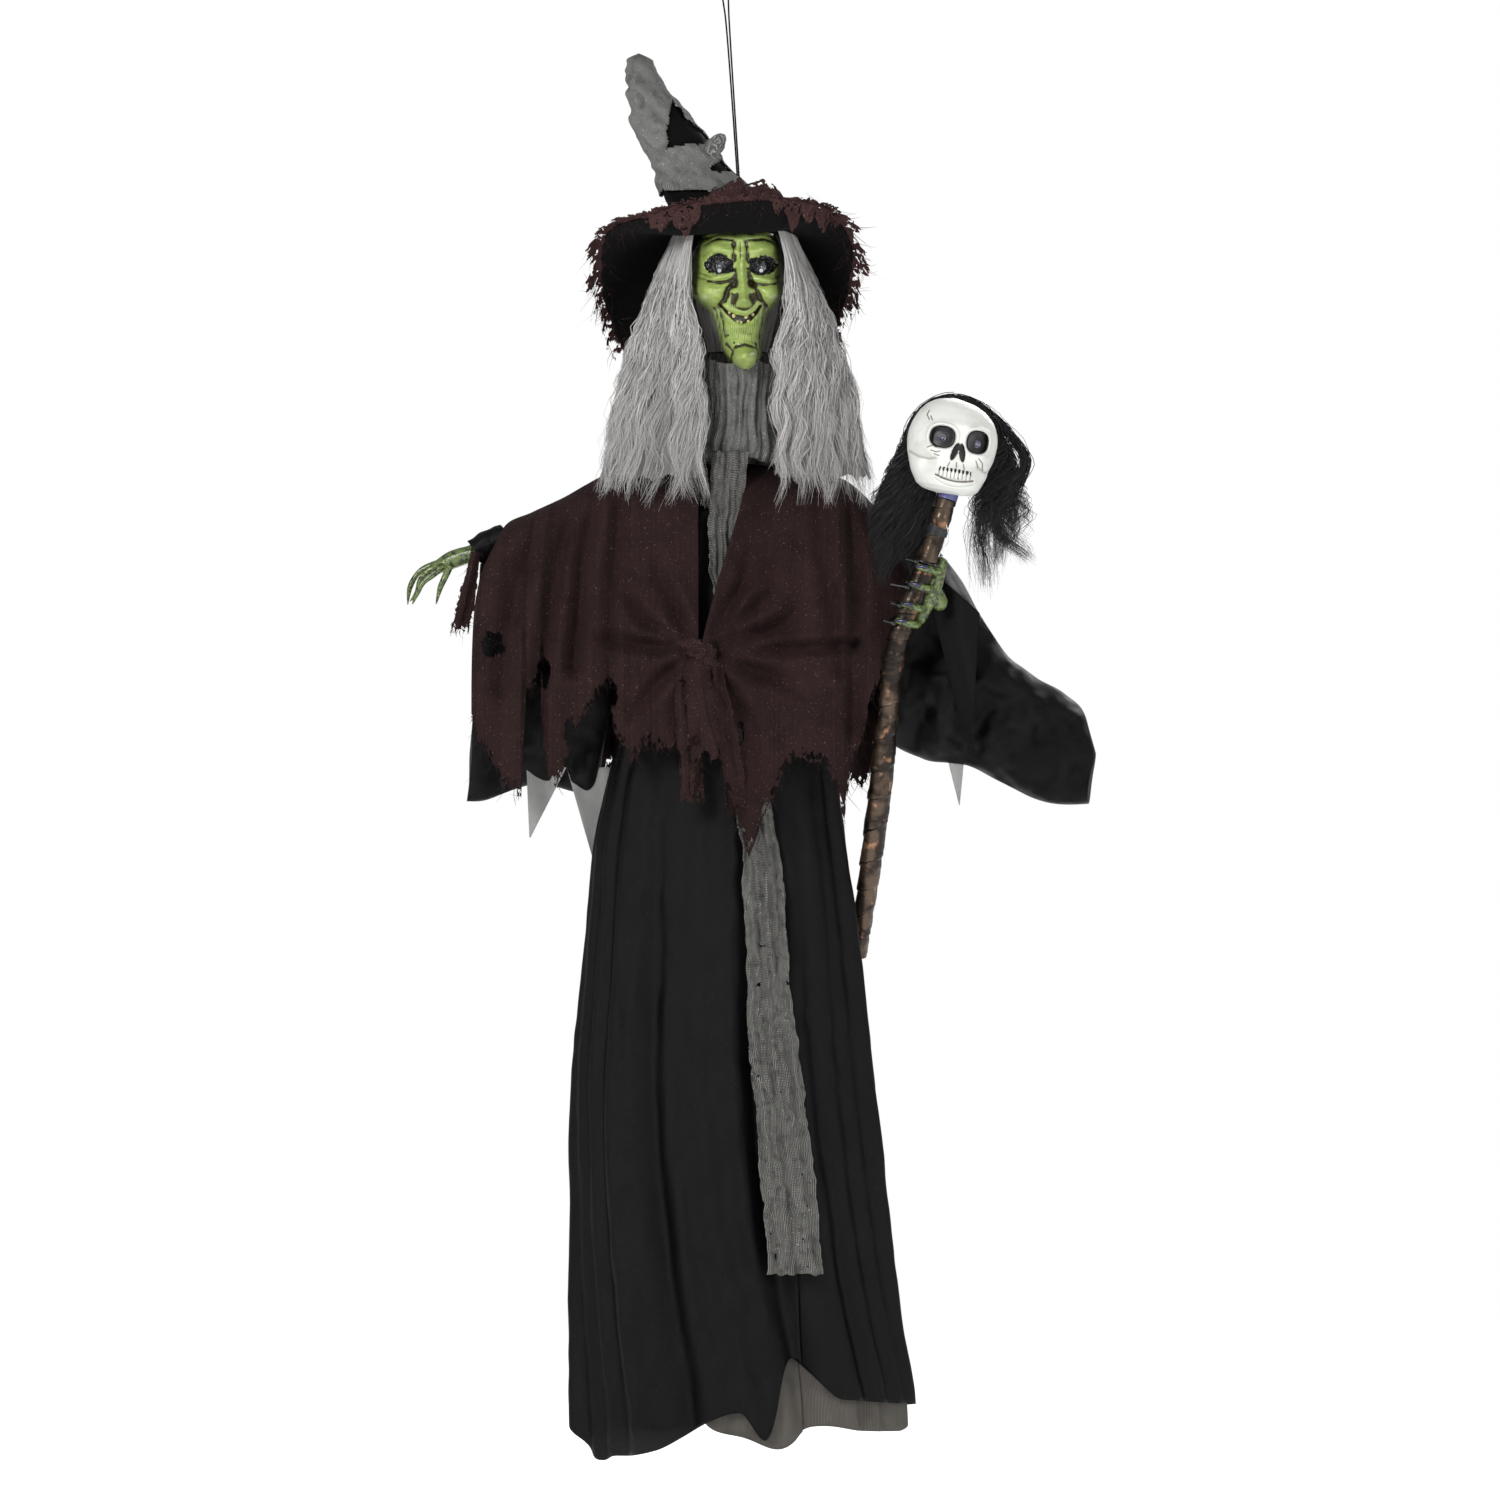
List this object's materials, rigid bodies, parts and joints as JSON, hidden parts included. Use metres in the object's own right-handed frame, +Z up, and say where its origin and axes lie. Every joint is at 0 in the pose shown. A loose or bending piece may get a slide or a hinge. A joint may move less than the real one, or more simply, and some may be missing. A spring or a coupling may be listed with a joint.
{
  "type": "hanging animated witch figure",
  "caption": "Life-size hanging witch figure with a turning masked head, posable arms, layered cloth costume and a skull-topped staff.",
  "frame": {"origin": "where a hook bears on the hanging loop, at the top of the cord", "axes": "+Z up, the figure faces -Y, +X on the onlooker's right"},
  "size_m": [0.8958, 0.3073, 1.9222],
  "materials": {
    "cord": "braided black cord",
    "steel": "zinc plated",
    "brass_part": "turned brass",
    "wire": "wire insulation",
    "gear_plastic": "natural acetal",
    "housing": "matt black moulding",
    "face_paint": "glossy green paint with a dark wash",
    "clear_lens": "clear lens",
    "lamp": "clear lamp",
    "purple_lamp": "purple lamp",
    "grey_hair": "grey synthetic hair",
    "black_hair": "black synthetic hair",
    "hat_cloth": "black felt",
    "gauze": "grey gauze",
    "rag": "brown ragged net",
    "burlap": "brown burlap",
    "sheer": "black sheer polyester",
    "tabard_gauze": "crinkled grey gauze",
    "staff_wrap": "bronze and black spiral wrap",
    "tape": "black tape",
    "skull_paint": "off-white paint",
    "tie": "black nylon",
    "clear_wire": "clear insulation",
    "hand_paint": "glossy green paint",
    "arm_metal": "plain bar",
    "board": "green board",
    "cell": "wrapped cell",
    "cone_paper": "speaker cone and frame"
  },
  "bodies": {
    "body_frame": {"hang_cord": "cord", "hang_knot": "cord", "hang_eye": "steel", "neck_rod": "steel", "head_lead": "wire", "rod_nut": "steel", "gearbox_base": "housing", "gearbox_cover": "housing", "gear_motor": "steel", "shoulder_beam": "housing", "spine_plate": "arm_metal", "spine_screws": "steel", "shoulder_bolts": "steel", "control_box_front": "housing", "control_box_back": "housing", "batteries": "cell", "battery_contacts": "brass_part", "circuit_board": "board", "speaker": "cone_paper", "sound_sensor": "steel", "gown_front": "sheer", "gown_back": "sheer", "tabard": "tabard_gauze", "neck_scarf": "gauze", "cape_centre": "burlap", "wig_locks": "grey_hair"},
    "head": {"face_mask": "face_paint", "head_back": "housing", "head_plate": "housing", "head_screws": "steel", "upper_bush": "gear_plastic", "eye_leds": "lamp", "eye_lenses": "clear_lens", "head_gear": "gear_plastic", "wig_crown": "grey_hair", "hat_cone": "hat_cloth", "hat_brim": "hat_cloth", "hat_gauze": "gauze", "hat_rags": "rag"},
    "idler": {"idler_gear": "gear_plastic"},
    "pinion": {"motor_pinion": "brass_part"},
    "right_arm": {"right_arm_bar": "arm_metal", "right_hand": "hand_paint", "right_sleeve": "sheer", "cape_right": "burlap"},
    "left_arm": {"left_arm_bar": "arm_metal", "left_hand": "hand_paint", "left_sleeve": "sheer", "cape_left": "burlap", "staff": "staff_wrap", "staff_band": "tape", "cable_ties": "tie", "skull_front": "skull_paint", "skull_back": "skull_paint", "skull_leds": "purple_lamp", "skull_hair": "black_hair", "skull_lead": "clear_wire"},
    "door": {"battery_door": "housing"},
    "knob": {"switch_knob": "housing"}
  },
  "joints": [
    {"name": "head_turn", "type": "hinge", "parent": "body_frame", "child": "head", "pos_m": [0.02, 0, -0.5], "axis": [0, 0, 1], "range_deg": [-35, 35]},
    {"name": "idler_spin", "type": "hinge", "parent": "body_frame", "child": "idler", "pos_m": [0.02, 0.0192, -0.54], "axis": [0, 0, 1], "range_deg": [-105, 105]},
    {"name": "pinion_spin", "type": "hinge", "parent": "body_frame", "child": "pinion", "pos_m": [0.03663, 0.0096, -0.54], "axis": [0, 0, 1], "range_deg": [-315, 315]},
    {"name": "right_arm_lift", "type": "hinge", "parent": "body_frame", "child": "right_arm", "pos_m": [-0.07, 0, -0.672], "axis": [0, 1, 0], "range_deg": [0, 20]},
    {"name": "left_arm_lift", "type": "hinge", "parent": "body_frame", "child": "left_arm", "pos_m": [0.11, 0, -0.672], "axis": [0, -1, 0], "range_deg": [0, 15]},
    {"name": "battery_door_hinge", "type": "hinge", "parent": "body_frame", "child": "door", "pos_m": [0.02, -0.003, -0.8466], "axis": [1, 0, 0], "range_deg": [0, 90]},
    {"name": "switch_slide", "type": "slide", "parent": "body_frame", "child": "knob", "axis": [0, 0, 1], "range_m": [0, 0.006]}
  ],
  "couplings": [
    {"joint": "idler_spin", "follows": "head_turn", "ratio": -3},
    {"joint": "pinion_spin", "follows": "head_turn", "ratio": 9}
  ]
}
